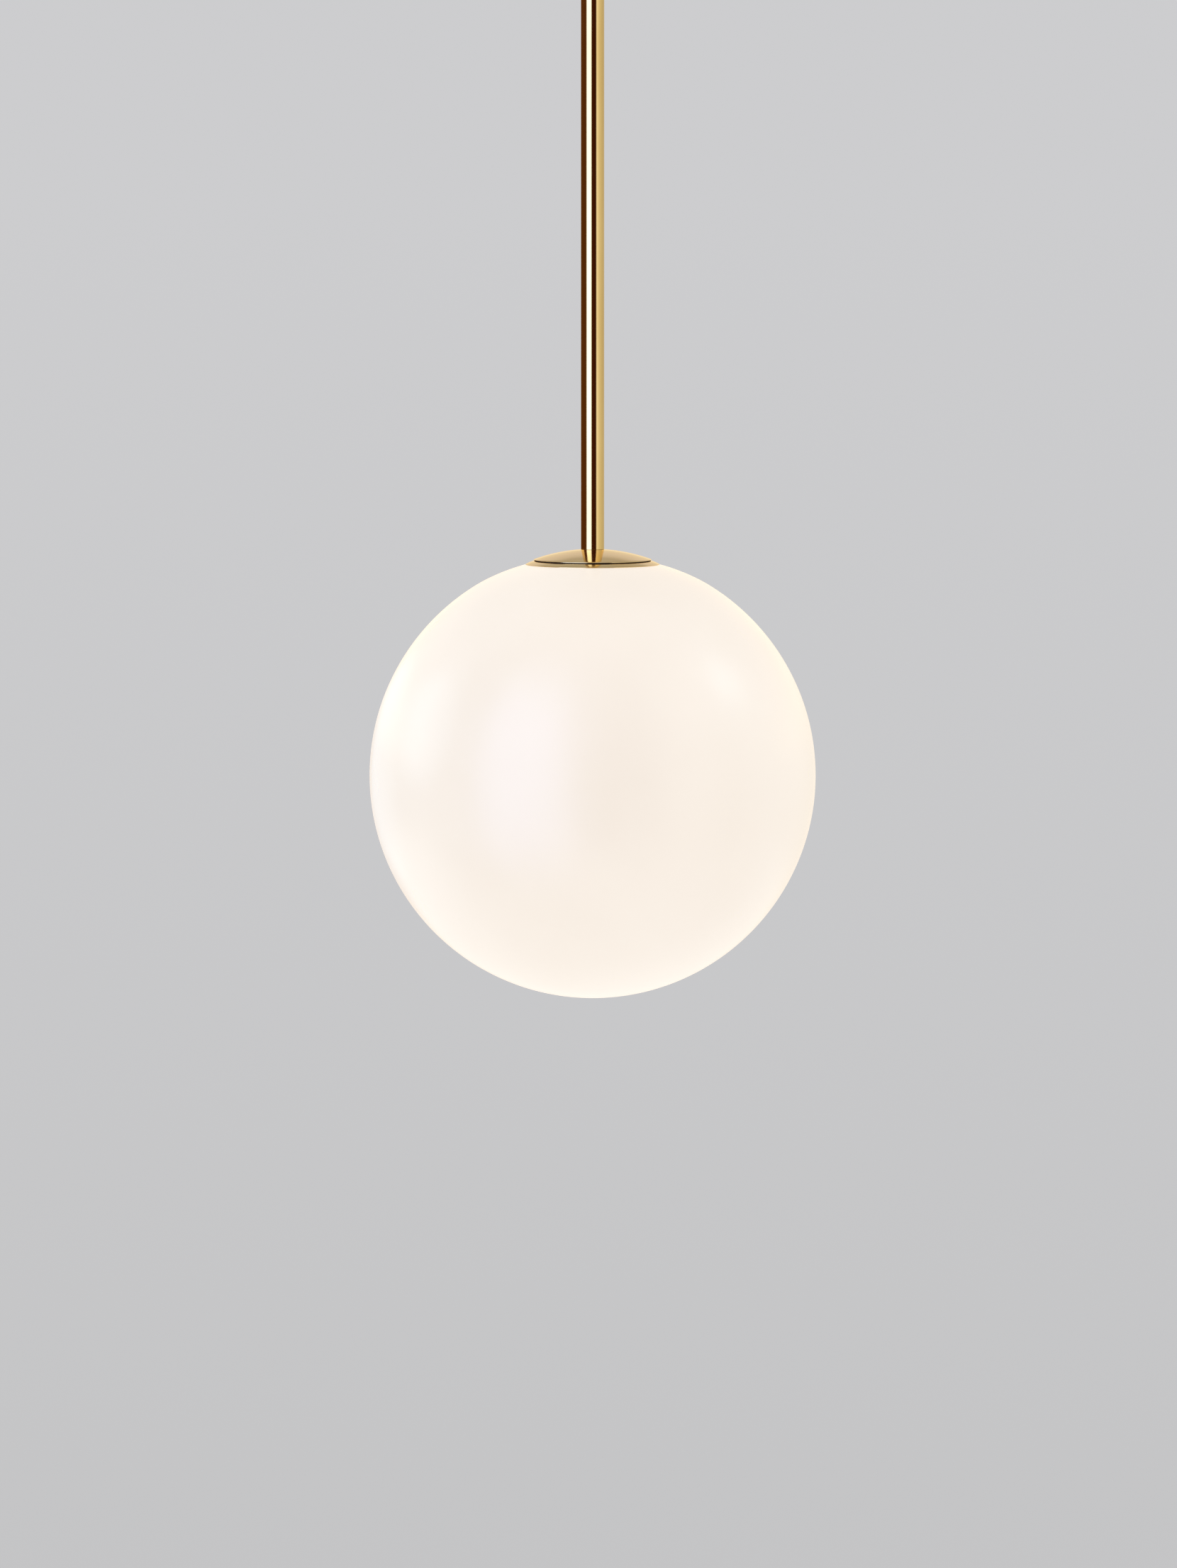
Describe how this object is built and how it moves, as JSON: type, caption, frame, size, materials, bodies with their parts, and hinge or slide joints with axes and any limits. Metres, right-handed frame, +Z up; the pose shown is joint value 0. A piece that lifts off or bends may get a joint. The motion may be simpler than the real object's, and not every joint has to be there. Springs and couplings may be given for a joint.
{
  "type": "pendant ceiling light",
  "caption": "Rigid-rod pendant light: opal glass globe under a shallow domed brass cap, on a brass rod that hangs from a ball swivel in a round ceiling canopy.",
  "frame": {"origin": "middle of the ceiling strap's top face, in the plane of the ceiling", "axes": "+Z up into the ceiling and along the rod, +X along the ceiling strap towards a canopy screw, +Y towards the terminal block"},
  "size_m": [0.2496, 0.2496, 0.7988],
  "materials": {
    "canopy_brass": "polished, spun",
    "screw_brass": "polished",
    "collar_brass": "polished, turned",
    "rod_brass": "polished tube",
    "dome_brass": "satin polished, spun",
    "ring_brass": "satin polished, turned",
    "raw_brass": "turned, unpolished",
    "strap_steel": "zinc plated",
    "bright_steel": "plated",
    "opal_glass": "opal, satin gloss",
    "lamp_polymer": "white",
    "nylon": "natural nylon",
    "silicone_bond": "silicone",
    "seal_rubber": "dark silicone",
    "porcelain": "glazed",
    "holder_black": "thermoset",
    "sheath": "flex sheath",
    "core_brown": "live insulation",
    "core_blue": "neutral insulation",
    "core_green": "green and yellow earth insulation"
  },
  "bodies": {
    "ceiling_mount": {"ceiling_strap": "strap_steel", "canopy_cup": "canopy_brass", "canopy_screw_1": "screw_brass", "canopy_screw_2": "screw_brass", "terminal_block": "lamp_polymer", "terminal_screw_1": "raw_brass", "terminal_screw_2": "raw_brass", "terminal_screw_3": "raw_brass", "terminal_screw_4": "raw_brass", "terminal_screw_5": "raw_brass", "terminal_screw_6": "raw_brass", "block_screw": "bright_steel", "earth_tag": "raw_brass", "earth_screw": "bright_steel", "earth_lead": "core_green", "core_live": "core_brown", "core_neutral": "core_blue", "core_earth": "core_green", "swivel_housing": "strap_steel", "swivel_collar": "collar_brass", "stop_pin": "bright_steel", "flex_bushing": "nylon", "flex_upper": "sheath"},
    "swivel_seat": {"swivel_seat": "nylon"},
    "drop": {"swivel_ball": "bright_steel", "cross_pin_1": "bright_steel", "cross_pin_2": "bright_steel", "rod": "rod_brass", "flex_lower": "sheath", "cap_dome": "dome_brass", "cap_fitter": "raw_brass", "cap_washer": "strap_steel", "cap_nut": "raw_brass", "cap_nipple": "raw_brass", "holder_cap": "holder_black", "holder_lock_screw": "bright_steel", "holder_skirt": "holder_black", "holder_insert": "porcelain", "holder_shell": "raw_brass", "cord_grip": "nylon", "holder_terminal_live": "raw_brass", "holder_terminal_neutral": "raw_brass", "holder_terminal_earth": "raw_brass", "holder_lead_live": "core_brown", "holder_lead_neutral": "core_blue", "holder_lead_earth": "core_green"},
    "globe_seal": {"seal_ring": "seal_rubber"},
    "globe": {"globe_glass": "opal_glass", "globe_ring": "ring_brass", "globe_bond": "silicone_bond"},
    "contact": {"contact_plunger": "raw_brass"},
    "lamp": {"lamp_contact": "bright_steel", "lamp_insulator": "holder_black", "lamp_base": "bright_steel", "lamp_body": "lamp_polymer", "lamp_board": "strap_steel", "lamp_bulb": "lamp_polymer"}
  },
  "joints": [
    {"name": "swivel_turn", "type": "hinge", "parent": "ceiling_mount", "child": "swivel_seat", "pos_m": [0, 0, -0.033], "axis": [0, 0, 1], "range_deg": [-165, 165]},
    {"name": "swivel_tilt", "type": "hinge", "parent": "swivel_seat", "child": "drop", "pos_m": [0, 0, -0.033], "axis": [1, 0, 0], "range_deg": [-20, 20]},
    {"name": "globe_turn", "type": "hinge", "parent": "drop", "child": "globe_seal", "pos_m": [0, 0, -0.67378], "axis": [0, 0, -1], "range_deg": [0, 1081]},
    {"name": "globe_lower", "type": "slide", "parent": "globe_seal", "child": "globe", "axis": [0, 0, -1], "range_m": [0, 0.006]},
    {"name": "lamp_turn", "type": "hinge", "parent": "drop", "child": "contact", "pos_m": [0, 0, -0.67378], "axis": [0, 0, -1], "range_deg": [0, 1441]},
    {"name": "lamp_lower", "type": "slide", "parent": "contact", "child": "lamp", "axis": [0, 0, -1], "range_m": [0, 0.01448]}
  ],
  "couplings": [
    {"joint": "globe_turn", "follows": "globe_lower", "rad_per_m": 3141.6},
    {"joint": "lamp_turn", "follows": "lamp_lower", "rad_per_m": 1735.7}
  ]
}
